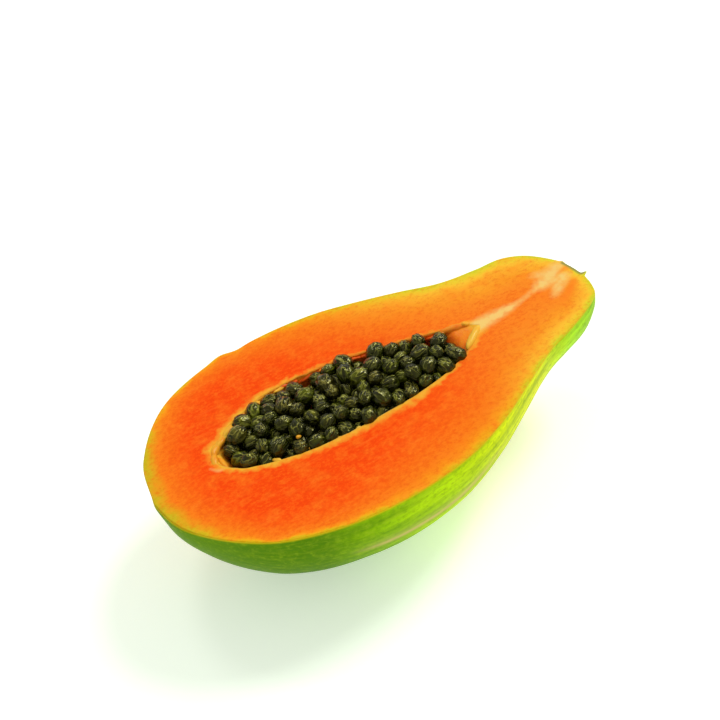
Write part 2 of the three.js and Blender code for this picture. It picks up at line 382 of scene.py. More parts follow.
def shape_skin(grid, settings):
    """Gives the plain skin its ribs, far knuckle, uneven surface, swollen tip, scar and flat spot."""
    curve = along(OUTLINE, FINE)
    x, y, z = grid[..., 0], grid[..., 1], grid[..., 2]
    middle, _ = width_at(curve, x)
    share = depth_share(x)
    across, down = y - middle, -z / share
    angle = np.arctan2(down, across)
    far_rim = np.maximum(0, np.cos(angle)) ** 4 * (bump(KNUCKLE, x) + bump(DENT, x))
    radius = np.hypot(across, down) * (1 - RIB_RISE * np.sin(RIBS * angle)) + far_rim
    points = np.stack([x, middle + radius * np.cos(angle), -radius * np.sin(angle) * share], axis=-1)
    flat = points.reshape(-1, 3)

    # Outward is away from an axis a little shorter than the fruit
    axis_x = flat[:, 0] * 0.9 + 8
    axis_y = np.interp(flat[:, 0], curve[:, 0], curve[:, 1])
    outward = flat - np.column_stack([axis_x, axis_y, 0 * axis_x])
    outward /= np.linalg.norm(outward, axis=1)[:, None] + 1e-9
    below = smooth(0, 8, -flat[:, 2])
    uneven = 0.35 * noise_at(flat, 24, 3.1) + 0.12 * noise_at(flat, 9, 5.7)
    flat += outward * (below * uneven)[:, None]
    tip = smooth(0, 1.8, -flat[:, 2]) * smooth(10, 2, flat[:, 0]) * smooth(8, -4, flat[:, 1])
    flat += outward * (TIP_SWELL * tip)[:, None]
    press_scar(flat)
    flat[:, 2] = np.maximum(flat[:, 2], -settings.height / MM)
    return flat.reshape(grid.shape)


def scar_place(points):
    """Distance from the scar's axis, evened out by its ragged outline, distance along it, and the axis."""
    axis = np.array([math.cos(SCAR_LEAN), math.sin(SCAR_LEAN), 0])
    side = np.array([-axis[1], axis[0], 0])
    rel = points - SCAR_MIDDLE
    out = rel @ axis
    u, v = rel @ side, rel[:, 2]
    angle = np.arctan2(v, u)
    ragged = 1 + 0.08 * np.sin(4 * angle + 1) + 0.05 * np.sin(7 * angle)
    return np.hypot(u, v) / ragged, out, axis


def press_scar(points):
    """Raises the scar's collar and sinks its pit, in place."""
    radius, out, axis = scar_place(points)
    near = (radius < 9) & (out > -4)
    spots = points[near]
    collar = smooth(SCAR_COLLAR + 0.5, SCAR_COLLAR - 0.3, radius[near])
    pit = smooth(SCAR_PIT + 0.35, SCAR_PIT - 0.15, radius[near])
    rough = 0.4 + 1.3 * noise_at(spots, 2.1, 8.2) + 0.4 * noise_at(spots, 0.8, 1.4)
    rise = SCAR_RISE * collar * (1 + 1.3 * rough) - (SCAR_RISE + SCAR_DEPTH) * pit * (0.6 + 0.5 * rough)
    horn = np.linalg.norm(spots - SCAR_HORN, axis=1)
    rise += SCAR_HORN_RISE * smooth(1.5, 0.2, horn)
    points[near] = spots + axis * rise[:, None]


def shape_wall(grid, settings):
    """The hollow's wall, shallow at both tips, with its soft folds and torn rim."""
    flat = grid.reshape(-1, 3).copy()
    flat[:, 2] *= 1 - 0.75 * smooth(34, 27, flat[:, 0]) - 0.84 * smooth(114, 127, flat[:, 0])
    inward = np.column_stack([CENTRE[0] - flat[:, 0], CENTRE[1] - flat[:, 1], 0 * flat[:, 0]])
    inward /= np.linalg.norm(inward, axis=1)[:, None] + 1e-9
    high = smooth(-9, -0.5, flat[:, 2])
    tips = smooth(42, 28, flat[:, 0]) + 0.5 * smooth(118, 130, flat[:, 0])
    far = smooth(2, 9, flat[:, 1])
    torn = 0.15 + 0.6 * far + 0.8 * tips
    folds = noise_at(flat, 6.5, 2.2) * 1.5 + noise_at(flat, 2.6, 6.1) * 0.9 + noise_at(flat, 1.2, 4.4) * 0.15
    flat += inward * (settings.tear / MM * torn * (0.35 + 0.65 * high) * folds)[:, None]
    return flat.reshape(grid.shape)


def cut_loops(outer, inner, settings):
    """Loops across the cut face, with both of its edges a little rounded."""
    edge = settings.edge / MM
    step = inner - outer
    length = np.linalg.norm(step[:, :2], axis=1)[:, None]
    unit = step / length
    even = np.arange(1, CUT_LOOPS) / CUT_LOOPS
    spread = 0.35 * even + 0.65 * (0.5 - 0.5 * np.cos(math.pi * even))

    # Each edge is a quarter round in two steps, the hollow's a wider one
    loops = []
    for inset, drop in ((0.29, 0.29), (1.0, 0.0)):
        loops.append(outer + unit * edge * inset + [0, 0, -edge * drop])
    for share in spread:
        loops.append(outer + unit * (edge + (length - 2.6 * edge) * share))
    for inset, drop in ((1.6, 0.0), (0.47, 0.47)):
        loops.append(inner - unit * edge * inset + [0, 0, -edge * drop])
    loops = np.array(loops)
    flat = loops[1:-1].reshape(-1, 3)
    flat[:, 2] += 0.10 * noise_at(flat, 22, 7.7) + 0.035 * noise_at(flat, 4.5, 9.2)
    loops[1:-1] = flat.reshape(loops[1:-1].shape)
    return loops


def distance_to(points, loop):
    """Distance in the cut's plane from each point to a closed loop."""
    start = loop[:, :2]
    step = np.roll(start, -1, axis=0) - start
    size = np.maximum((step ** 2).sum(1), 1e-9)
    nearest = []
    for some in np.array_split(points, len(points) // 4000 + 1):
        part = some[:, None, :2] - start
        share = np.clip((part * step).sum(2) / size, 0, 1)
        nearest.append(np.linalg.norm(part - share[..., None] * step, axis=2).min(1))
    return np.concatenate(nearest)


def brushed(strokes, points):
    """How strongly soft strokes cover each point, from 0 to 1."""
    cover = np.zeros(len(points))
    for stroke in strokes:
        for x, y, half, strength in along(stroke, 8):
            apart = np.hypot(points[:, 0] - x, points[:, 1] - y) / half
            cover = np.maximum(cover, strength * np.exp(-apart ** 2))
    return cover


def lining_strength(points):
    """How pale the lining is at each point, by the rim that the point is nearest to."""
    far = np.interp(points[:, 0], *np.array(FAR_LINING).T)
    near = np.interp(points[:, 0], *np.array(NEAR_LINING).T)
    side = smooth(-6, 6, points[:, 1] - CENTRE[1])
    return near + side * (far - near)


def rub_mark(x, around):
    """A tan scratch along the near side: a narrow line with a fainter, wider one beside it."""
    aside = around - 0.131 + 0.02 * np.sin(x / 17)
    line = 0.75 * np.exp(-(aside / 0.008) ** 2) + 0.3 * np.exp(-((aside + 0.008) / 0.024) ** 2)
    return np.minimum(line, 0.85) * smooth(48, 66, x) * smooth(124, 98, x)


def paint_half(mesh, points, skin_rim, hollow_rim):
    """Stores what the half's materials need to know at each vertex, as lengths in mm and shares."""
    x, y, z = points.T
    middle, _ = width_at(along(OUTLINE, FINE), x)
    around = np.arctan2(-z / depth_share(x), middle - y) / math.pi
    radius, out, _ = scar_place(points)
    far_neck = smooth(134, 148, x) * smooth(174, 162, x) * smooth(8, 20, y)
    amounts = {
        "from_skin": distance_to(points, skin_rim),
        "band": np.interp(x, *np.array(BAND).T) * (1 + 0.45 * far_neck),
        "from_hollow": distance_to(points, hollow_rim),
        "from_cut": -z,
        "neck": smooth(NECK_FROM, NECK_TO, x + 0.35 * (y - CENTRE[1])),
        "blossom": smooth(20, 2, x),
        "strand": brushed(STRANDS, points),
        "wedge": brushed(WEDGES, points),
        "lining": lining_strength(points),
        "scar": smooth(5.6, 5.0, radius) * (out > -3),
        "around": np.clip(around, 0, 1),
        "streaky": smooth(0, 26, x) * smooth(178, 142, x),
        "length": x / OUTLINE[-1][0],
        "rub": rub_mark(x, around),
    }
    for name, values in amounts.items():
        add_attribute(mesh, name, values)


def build_mesh(name, loops, regions, materials):
    """A closed mesh through loops of points, the first and last of which shrink to a point."""
    rows, count = len(loops), len(loops[0])
    body = np.vstack(loops[1:-1])
    top, bottom = loops[0].mean(0), loops[-1].mean(0)
    vertices = np.vstack([body, top, bottom])
    k = np.arange(count)
    after = (k + 1) % count
    faces = []
    for row in range(rows - 3):
        low, high = row * count, (row + 1) * count
        faces.append(np.column_stack([low + k, high + k, high + after, low + after]))
    quads = np.vstack(faces)
    first, last = len(body), len(body) + 1
    end = (rows - 3) * count
    caps = [(first, int(i), int(j)) for i, j in zip(k, after)]
    caps += [(last, int(end + j), int(end + i)) for i, j in zip(k, after)]
    mesh = bpy.data.meshes.new(name)
    mesh.from_pydata((vertices * MM).tolist(), [], quads.tolist() + caps)
    for material in materials:
        mesh.materials.append(material)
    caps_of = [np.full(count, regions[0]), np.full(count, regions[-1])]
    slots = np.concatenate([np.repeat(regions, count), *caps_of])
    mesh.polygons.foreach_set("material_index", slots.astype(np.int32))
    mesh.polygons.foreach_set("use_smooth", np.ones(len(mesh.polygons), bool))
    mesh.update()
    return mesh, vertices


def add_attribute(mesh, name, values):
    """Stores one number for each vertex."""
    layer = mesh.attributes.new(name, "FLOAT", "POINT")
    layer.data.foreach_set("value", np.asarray(values, np.float32))


def add_vector(mesh, name, values):
    """Stores three numbers for each vertex."""
    layer = mesh.attributes.new(name, "FLOAT_VECTOR", "POINT")
    layer.data.foreach_set("vector", np.asarray(values, np.float32).ravel())


def rgba(colour):
    """A hex code, or a linear colour, as a linear colour with full alpha."""
    return (*(linear(colour) if isinstance(colour, str) else colour), 1)


def add_node(tree, kind, inputs=None, stops=None, **settings):
    """Adds a node with its settings, its ramp's stops, and its inputs: values, hex colours or links."""
    node = tree.nodes.new(kind)
    for name, value in settings.items():
        setattr(node, name, value)
    if stops:
        ramp = node.color_ramp
        while len(ramp.elements) < len(stops):
            ramp.elements.new(0.5)
        for element, (place, colour) in zip(ramp.elements, stops):
            element.position = place
            element.color = rgba(colour)
    for name, value in (inputs or {}).items():
        if isinstance(value, bpy.types.NodeSocket):
            tree.links.new(value, node.inputs[name])
        elif isinstance(value, str) and value.startswith("#"):
            node.inputs[name].default_value = rgba(value)
        else:
            node.inputs[name].default_value = value
    return node


def new_material(name):
    """An empty node material and its tree."""
    material = bpy.data.materials.new(name)
    material.use_nodes = True
    material.node_tree.nodes.clear()
    return material, material.node_tree


def add_surface(tree, looks):
    """Closes a material's tree with its surface."""
    surface = add_node(tree, "ShaderNodeBsdfPrincipled", looks)
    add_node(tree, "ShaderNodeOutputMaterial", {"Surface": surface.outputs[0]})


def lay_coats(tree, colour, *coats):
    """Lays coats of colour over a first one, each as far as its share says."""
    for share, coat in coats:
        layers = {0: share, 6: colour, 7: coat}
        colour = add_node(tree, "ShaderNodeMix", layers, data_type="RGBA").outputs[2]
    return colour


def stored(tree, name):
    """A number stored at each vertex."""
    return add_node(tree, "ShaderNodeAttribute", attribute_name=name).outputs["Fac"]


def calc(tree, operation, *values, **settings):
    """What a math node makes of its values."""
    inputs = dict(enumerate(values))
    return add_node(tree, "ShaderNodeMath", inputs, operation=operation, **settings).outputs[0]


def ranged(tree, value, low, high, start=0.0, end=1.0, **settings):
    """From start where a value is low to end where it is high, and level beyond."""
    inputs = {"Value": value, "From Min": low, "From Max": high, "To Min": start, "To Max": end}
    return add_node(tree, "ShaderNodeMapRange", inputs, **settings).outputs[0]


def clouds(tree, place, size, detail, roughness=0.5):
    """Noise in clouds of a size in mm."""
    inputs = {"Vector": place, "Scale": 1 / (size * MM), "Detail": detail, "Roughness": roughness}
    return add_node(tree, "ShaderNodeTexNoise", inputs).outputs["Fac"]


def drawn_out(tree, place, scale, detail, roughness=0.5):
    """Noise drawn out along the fruit, with its scale along and across."""
    drawn = add_node(tree, "ShaderNodeMapping", {"Vector": place, "Scale": (*scale, 1.0)}).outputs[0]
    inputs = {"Vector": drawn, "Scale": 1.0, "Detail": detail, "Roughness": roughness}
    return add_node(tree, "ShaderNodeTexNoise", inputs).outputs["Fac"]


def colour_ramp(tree, share, *stops):
    """A colour between stops, picked by a share."""
    return add_node(tree, "ShaderNodeValToRGB", {"Fac": share}, stops=stops).outputs["Color"]


def bumps(tree, height, strength, depth):
    """Fine relief with a depth in mm."""
    inputs = {"Height": height, "Strength": strength, "Distance": depth * MM}
    return add_node(tree, "ShaderNodeBump", inputs).outputs[0]


def flesh_zones(tree, cloudy, settings):
    """The flesh's colour by its depth under the skin: redder in the belly, yellower in the neck."""
    from_skin, band, neck, blossom = (
        stored(tree, name) for name in ("from_skin", "band", "neck", "blossom"))
    inside = calc(tree, "MULTIPLY_ADD", cloudy, 5.0, from_skin)
    reach = ranged(tree, calc(tree, "DIVIDE", inside, band), 0.0, 30.0)
    belly = colour_ramp(
        tree, reach, (0.0, "#D6B616"), (0.035, "#EFAC18"), (0.08, "#F69216"), (0.17, "#F67B14"),
        (0.34, "#F66A10"), (0.55, "#F75A0C"), (0.8, settings.flesh), (1.0, "#F64A06"))
    end = colour_ramp(
        tree, reach, (0.0, "#C8D02C"), (0.05, "#E6D030"), (0.12, "#F6C234"), (0.22, "#F8AC2C"),
        (0.36, "#F69822"), (0.55, "#F68C22"), (0.78, "#F6821F"), (1.0, "#F67C1C"))

    # Greener flesh under the skin of the blossom end
    unripe = calc(tree, "MULTIPLY", ranged(tree, inside, 0.5, 6.5, 0.9, 0.0), blossom)
    return lay_coats(tree, belly, (neck, end), (unripe, "#BDB41E"))


def flesh_texture(tree, colour, place, cloud, cells):
    """Less ripe clouds, lighter and redder cells, and long faint streaks of vessels."""
    less_ripe = ranged(tree, cloud, 0.48, 0.68, 0.0, 0.4)
    speck = ranged(tree, cells, 0.34, 0.66, -1.0, 1.0)
    light = calc(tree, "MULTIPLY", speck, 0.2, use_clamp=True)
    deep = calc(tree, "MULTIPLY", speck, -0.34, use_clamp=True)

    # Vessels, 28 mm long and 1.6 mm wide
    vessels = drawn_out(tree, place, (1 / (28 * MM), 1 / (1.6 * MM)), 1.0)
    streak = ranged(tree, vessels, 0.58, 0.8, 0.0, 0.16)
    return lay_coats(
        tree, colour, (less_ripe, "#F8801C"), (light, "#FFA02A"), (deep, "#E33A04"), (streak, "#FF9A38"))


def hollow_band(tree, colour, cloudy, patchy, settings):
    """The lining's cut edge: 1 to 4 mm of pale tissue round the hollow, with an uneven outer border."""
    from_hollow, lining = (stored(tree, name) for name in ("from_hollow", "lining"))
    ragged = calc(tree, "MULTIPLY_ADD", cloudy, 5.0, from_hollow)
    rough = calc(tree, "MULTIPLY_ADD", patchy, 4.0, ragged)
    width = calc(tree, "MULTIPLY_ADD", lining, 3.2, 1.0)
    within = ranged(tree, rough, 0.6, width, 1.0, 0.0)
    pale = calc(tree, "MULTIPLY", within, ranged(tree, lining, 0.0, 0.6, 0.3, 0.95))

    # Painted shade on the lip over the hollow, where its rounded edge turns down
    painted_lip_shade = ranged(tree, from_hollow, 0.1, 0.7, 0.35, 0.0)
    return lay_coats(tree, colour, (pale, rgba(settings.lining)), (painted_lip_shade, "#C48A2A"))


def core_strand(tree, colour, patchy):
    """The pale strand to the stalk, the orange wedges in its end, and the dry olive edge of the scar."""
    from_skin, strand, wedge, scar = (
        stored(tree, name) for name in ("from_skin", "strand", "wedge", "scar"))
    frayed = calc(tree, "MULTIPLY", calc(tree, "MULTIPLY_ADD", patchy, 1.5, 1.0), strand)
    pale = ranged(tree, frayed, 0.08, 0.8, 0.0, 0.92)
    dry = calc(tree, "MULTIPLY", ranged(tree, from_skin, 0.6, 1.5, 1.0, 0.0), scar)
    return lay_coats(tree, colour, (pale, "#F2CB74"), (wedge, "#F9821F"), (dry, "#94904A"))


def cut_flesh(settings):
    """Wet, freshly cut papaya flesh: fine-celled, orange-red, yellow under the skin and round the hollow."""
    material, tree = new_material("Wet cut papaya flesh")
    place = add_node(tree, "ShaderNodeTexCoord").outputs["Object"]

    # Clouds about 7 mm and patches about 2 mm across, which make the borders of the zones uneven
    cloud = clouds(tree, place, 7, 3.0)
    cloudy = calc(tree, "SUBTRACT", cloud, 0.5)
    patchy = calc(tree, "SUBTRACT", clouds(tree, place, 2.2, 2.0), 0.5)

    # Cells, about 1 mm across and drawn out along the fruit
    stretch = add_node(tree, "ShaderNodeMapping", {"Vector": place, "Scale": (0.7, 1.0, 1.0)}).outputs[0]
    cells = clouds(tree, stretch, 1.1, 3.0, 0.7)

    colour = flesh_zones(tree, cloudy, settings)
    colour = flesh_texture(tree, colour, place, cloud, cells)
    colour = hollow_band(tree, colour, cloudy, patchy, settings)
    colour = core_strand(tree, colour, patchy)

    grain = add_node(tree, "ShaderNodeTexVoronoi", {"Vector": stretch, "Scale": 1 / (0.75 * MM)})
    relief = calc(tree, "MULTIPLY_ADD", grain.outputs["Distance"], 0.6, cells)
    add_surface(tree, {
        "Base Color": colour, "Roughness": ranged(tree, cells, 0.0, 1.0, 0.35, 0.6), "IOR": 1.36,
        "Specular IOR Level": 0.05, "Subsurface Weight": 0.15, "Subsurface Radius": (1.0, 0.35, 0.12),
        "Subsurface Scale": 1.5 * MM, "Normal": bumps(tree, relief, 0.25, 0.12)})
    return material


def hollow_lining():
    """Moist membrane on the hollow's wall: golden at the rim, deep orange lower down."""
    material, tree = new_material("Moist hollow lining")
    place = add_node(tree, "ShaderNodeTexCoord").outputs["Object"]
    from_cut, lining = (stored(tree, name) for name in ("from_cut", "lining"))
    lowered = calc(tree, "ADD", calc(tree, "MULTIPLY_ADD", lining, -9.0, 6.0), from_cut)
    uneven = calc(tree, "MULTIPLY_ADD", clouds(tree, place, 2.4, 3.0), 6.0, lowered)
    colour = colour_ramp(
        tree, ranged(tree, uneven, 2.0, 12.0),
        (0.0, "#F2BC38"), (0.35, "#F6A024"), (0.7, "#F27A14"), (1.0, "#E24A06"))
    fibre = clouds(tree, place, 0.7, 2.0)
    add_surface(tree, {
        "Base Color": colour, "Roughness": 0.34, "IOR": 1.38, "Specular IOR Level": 0.12,
        "Subsurface Weight": 0.2, "Subsurface Radius": (1.0, 0.5, 0.15), "Subsurface Scale": 2.5 * MM,
        "Coat Weight": 0.03, "Coat Roughness": 0.12, "Normal": bumps(tree, fibre, 0.5, 0.25)})
    return material


def skin_streaks(tree, colour, unrolled, settings):
    """Soft darker stripes and fine streaks along the fruit, laid out on its unrolled skin."""
    # Stripes, some 60 mm long and 6 mm wide
    stripes = drawn_out(tree, unrolled, (3.0, 26.0), 3.0)
    stripe = ranged(tree, stripes, 0.35, 0.65, 0.0, 0.5)

    # Streaks, some 8 mm long and 2 mm wide, which fade out at both ends of the fruit
    streaky = stored(tree, "streaky")
    streaks = drawn_out(tree, unrolled, (22.0, 84.0), 4.0, 0.7)
    dark = calc(tree, "MULTIPLY", ranged(tree, streaks, 0.52, 0.3, 0.0, 0.34), streaky)
    pale = calc(tree, "MULTIPLY", ranged(tree, streaks, 0.52, 0.75, 0.0, 0.2), streaky)
    return lay_coats(tree, colour, (stripe, rgba(settings.skin)), (dark, "#3E6A08"), (pale, "#C6CC3C"))


def skin_mottling(tree, colour, place):
    """Darker and paler mottling, 2 mm across."""
    spots = clouds(tree, place, 2.0, 3.0, 0.65)
    dim = ranged(tree, spots, 0.5, 0.3, 0.0, 0.4)
    bright = ranged(tree, spots, 0.52, 0.72, 0.0, 0.24)
    return lay_coats(tree, colour, (dim, "#4C7C04"), (bright, "#B8CC2C"))


def riper_side(tree, colour, place, around):
    """Yellow and orange clouds on the far side, and dark green flecks where the skin is least ripe."""
    side = calc(tree, "MULTIPLY_ADD", clouds(tree, place, 30, 3.0), 0.9, around)
    ripe = ranged(tree, side, 0.85, 1.2, interpolation_type="SMOOTHSTEP")
    blush = clouds(tree, place, 18, 4.0)
    yellow = colour_ramp(tree, blush, (0.38, "#9FA61C"), (0.5, "#D3A021"), (0.62, "#E08A1E"))

    # Flecks, 1 to 2 mm across and some 4 mm apart
    dots = add_node(tree, "ShaderNodeTexVoronoi", {
        "Vector": place, "Scale": 1 / (3.9 * MM), "Randomness": 1.0})
    fleck = ranged(tree, dots.outputs["Distance"], 0.13, 0.25, 1.0, 0.0)
    flecked = calc(tree, "MULTIPLY", fleck, ranged(tree, blush, 0.56, 0.44))
    shown = calc(tree, "MULTIPLY", flecked, ranged(tree, around, 0.2, 0.45, 0.0, 0.75))
    return lay_coats(tree, colour, (ripe, yellow), (shown, "#3A6414"))


def waxy_skin(settings):
    """Thin waxy papaya skin, green to yellow along the fruit, with a rub mark and a corky stalk scar."""
    material, tree = new_material("Waxy ripening papaya skin")
    place = add_node(tree, "ShaderNodeTexCoord").outputs["Object"]
    around, length, scar, rub, from_cut = (
        stored(tree, name) for name in ("around", "length", "scar", "rub", "from_cut"))
    greens = colour_ramp(
        tree, length, (0.0, "#6E9400"), (0.1, "#5E8600"), (0.24, "#5C8400"), (0.36, "#96C200"),
        (0.5, "#CCF000"), (0.64, "#ECF60C"), (0.78, "#F0F020"), (0.9, "#B8EE28"), (1.0, "#A2D02C"))
    unrolled = add_node(tree, "ShaderNodeCombineXYZ", {"X": length, "Y": around}).outputs[0]
    colour = skin_streaks(tree, greens, unrolled, settings)
    colour = skin_mottling(tree, colour, place)
    colour = riper_side(tree, colour, place, around)

    # A hair of yellow where the knife went through the skin
    rim = ranged(tree, from_cut, 0.4, 1.5, 0.9, 0.0)
    colour = lay_coats(tree, colour, (rub, "#CDB070"), (scar, "#8E864A"), (rim, "#DCB810"))

    pores = clouds(tree, place, 0.8, 2.0)
    add_surface(tree, {
        "Base Color": colour, "Roughness": 0.4, "IOR": 1.45, "Specular IOR Level": 0.015,
        "Normal": bumps(tree, pores, 0.25, 0.08)})
    return material


def wrinkled_jelly(tree, grain, tone, settings):
    """The dark seed coat under olive jelly, which differs from seed to seed, with painted light: the jelly
    colour is painted stronger on the seed's upper side, and painted highlights sit on the crest tops.
    """
    # Wrinkles: thin wandering crests, lengthwise, 1 to 2 mm apart
    level = calc(tree, "SUBTRACT", clouds(tree, grain, 1.6, 1.0), 0.5)
    apart = calc(tree, "ABSOLUTE", level)
    ridge = ranged(tree, apart, 0.0, 0.09, 1.0, 0.0, interpolation_type="SMOOTHSTEP")

    # Jelly: thick in clouds and on the crests. Its colour is also painted stronger on the seed's upper side
    # and weaker underneath: painted top light and painted underside shade
    rise = stored(tree, "rise")
    thick = calc(tree, "MULTIPLY_ADD", ridge, 0.28, clouds(tree, grain, 2.6, 2.0))
    cover = ranged(tree, thick, 0.46, 0.9, 0.0, 0.75)
    painted_top_light = ranged(tree, rise, -0.1, 0.9, 0.08)
    lit_cover = calc(tree, "MULTIPLY", cover, painted_top_light)

    # Each seed's own share, drawn from the digits of its tone
    own = calc(tree, "FRACT", calc(tree, "MULTIPLY", tone, 37.0))
    jellied = calc(tree, "MULTIPLY", lit_cover, ranged(tree, own, 0.0, 1.0, 0.3, 1.25))

    # Pale tops of the crests: partly pale jelly, partly a painted highlight where the crests face up
    crest = calc(tree, "POWER", ridge, 4.0)
    crest_tops_and_highlight = calc(tree, "MULTIPLY", crest, ranged(tree, rise, 0.6, 1.0, 0.0, 0.36))
    jelly = lay_coats(tree, rgba(settings.jelly), (tone, "#86782A"))
    return lay_coats(tree, rgba(settings.dark), (jellied, jelly), (crest_tops_and_highlight, "#CFC66A"))


def jelly_seed(settings):
    """A wrinkled black-green seed under wet olive jelly."""
    material, tree = new_material("Wet seed jelly")
    grain = add_node(tree, "ShaderNodeAttribute", attribute_name="grain").outputs["Vector"]
    colour = wrinkled_jelly(tree, grain, stored(tree, "tone"), settings)
    fine = clouds(tree, grain, 1.1, 2.0)
    add_surface(tree, {
        "Base Color": colour, "Roughness": 0.09, "IOR": 1.5, "Specular IOR Level": 0.4,
        "Specular Tint": (1.0, 0.95, 0.2, 1), "Coat Weight": 0.16, "Coat Roughness": 0.05,
        "Normal": bumps(tree, fine, 1.0, 0.75), "Coat Normal": bumps(tree, fine, 0.9, 0.6)})
    return material


def seed_thread():
    """Soft wet tissue that the seeds hung from: cream where its tone is low, red-orange where it is high."""
    material, tree = new_material("Pale seed thread")
    place = add_node(tree, "ShaderNodeTexCoord").outputs["Object"]
    shade = calc(tree, "MULTIPLY_ADD", clouds(tree, place, 3, 2.0), 0.5, stored(tree, "tone"))
    colour = colour_ramp(
        tree, shade, (0.25, "#F2CC50"), (0.5, "#EEB838"), (0.75, "#EC9E22"), (1.0, "#E65A10"))
    add_surface(tree, {
        "Base Color": colour, "Roughness": 0.32, "IOR": 1.38, "Specular IOR Level": 0.2,
        "Subsurface Weight": 0.1, "Subsurface Radius": (1.0, 0.6, 0.2), "Subsurface Scale": 1.0 * MM,
        "Coat Weight": 0.05, "Coat Roughness": 0.1})
    return material


def to_row(points):
    """From distances along the fruit and below the cut to the frame that the object stands in, in mm."""
    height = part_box("papaya_half")[1][2] / MM
    return points + np.array([-REST_X, 0, height])


def finish_piece(mesh, name, replaced=None):
    """Links a finished mesh as a piece that rides on the object's only body."""
    piece = bpy.data.objects.new(name, mesh)
    bpy.context.scene.collection.objects.link(piece)
    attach(piece, "root")
    if replaced:
        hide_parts(replaced)


def seed_places(count, high, low, seed):
    """Where each seed lies, once crowded seeds have pushed each other apart."""
    state = seed

    def draw():
        nonlocal state
        state = state * 16807 % 2147483647
        return state / 2147483647

    rim = along(HOLLOW, 8)
    places = []
    while len(places) < count:
        best = None
        for _ in range(SEED_TRIES):
            x = HEAP_FROM + (HEAP_TO - HEAP_FROM) * draw()
            middle, half = width_at(rim, x)
            y = middle + (2 * draw() - 1) * (half - RIM_GAP)
            alone = min([60] + [math.hypot(place[0] - x, place[1] - y) for place in places])
            if best is None or alone > best[2]:
                best = (x, y, alone)
        z = low + (high - low) * draw()
        scale = 1 + SEED_SPREAD * (2 * draw() - 1)
        turn = math.pi * draw()
        tilt = draw() - 0.5
        places.append([best[0], best[1], z, scale, turn, tilt])
    for _ in range(SETTLE_ROUNDS):
        for i, a in enumerate(places):
            for b in places[i + 1:]:
                push_apart(a, b)
        for place in places:
            keep_in_heap(place, rim, high, low)
    return np.array(places)


def drops(seeds):
    """Point, size, turn and tone of each seed. A high tone, the brown of old jelly, is rare."""
    x, y, z, scale, turn, tilt = seeds.T
    scale = 1 + 1.7 * (scale - 1)
    tone = (turn * 7.3 % 1) ** 3
    return np.column_stack([x, y, z, scale, scale, scale, 0 * x, tilt, turn, tone])


def lean_on_rim(seeds):
    """Moves the far seeds up onto the rim towards the stalk, and down from it towards the blossom end."""
    middle, half = width_at(along(HOLLOW, 8), seeds[:, 0])
    far = smooth(0.1, 0.9, (seeds[:, 1] - middle) / half)
    leaning = far * (1.7 * smooth(70, 95, seeds[:, 0]) - 0.9)
    seeds[:, 1] += 0.7 * leaning
    seeds[:, 2] += 0.5 * leaning


def thread_places(settings):
    """Point, size, turn and tone of each thread along the hollow's rim, and of each single fold."""
    dice = np.random.default_rng(THREAD_RANDOM_SEED)
    rim = along(HOLLOW, 8)
    rows = []
    for first, last, side, count, inset, low, size, tone in THREADS:
        for x in np.linspace(first, last, count):
            x += dice.uniform(-1, 1)
            middle, half = width_at(rim, x)
            y = middle + side * half - side * dice.uniform(*inset)
            z = dice.uniform(low, -0.4)
            long, thick = size * dice.uniform(0.6, 1.2), size ** 0.6 * dice.uniform(0.7, 1.3)
            ahead, wide = width_at(rim, x + 1)
            slope = math.atan(ahead + side * wide - middle - side * half)
            turn = slope + dice.uniform(-0.25, 0.25)
            size_row = [long, thick, thick * dice.uniform(0.6, 1)]
            turn_row = [dice.uniform(-0.4, 0.4), dice.uniform(-0.3, 0.2), turn]
            rows.append([x, y, z, *size_row, *turn_row, np.clip(tone + dice.uniform(-0.2, 0.2), 0, 1)])
    for x, y, z, long, thick, turn, tone in FOLDS:
        wide = thick * MM / settings.width
        rows.append([x, y, z, long * MM / settings.length, wide, wide, 0, 0, math.radians(turn), tone])
    return np.array(rows)


def push_apart(a, b):
    """Pushes two seeds apart if they are closer than they have room for."""
    wanted = SEED_ROOM * (a[3] + b[3]) / 2
    apart = math.sqrt((b[0] - a[0]) ** 2 + (b[1] - a[1]) ** 2 + (b[2] - a[2]) ** 2)
    if 0 < apart < wanted:
        push = (wanted - apart) / apart / 2
        for axis in range(3):
            step = push * (b[axis] - a[axis])
            a[axis] -= step
            b[axis] += step


def keep_in_heap(place, rim, high, low):
    """Moves a seed back into the part of the hollow that the heap fills."""
    place[0] = min(max(place[0], HEAP_FROM), HEAP_TO)
    middle, half = width_at(rim, place[0])
    room = max(0.5, half - RIM_GAP)
    place[1] = min(max(place[1], middle - room), middle + room)
    fall = HEAP_FALL * abs((place[1] - middle) / room) ** 3
    place[2] = min(max(place[2], low - fall), high - fall)


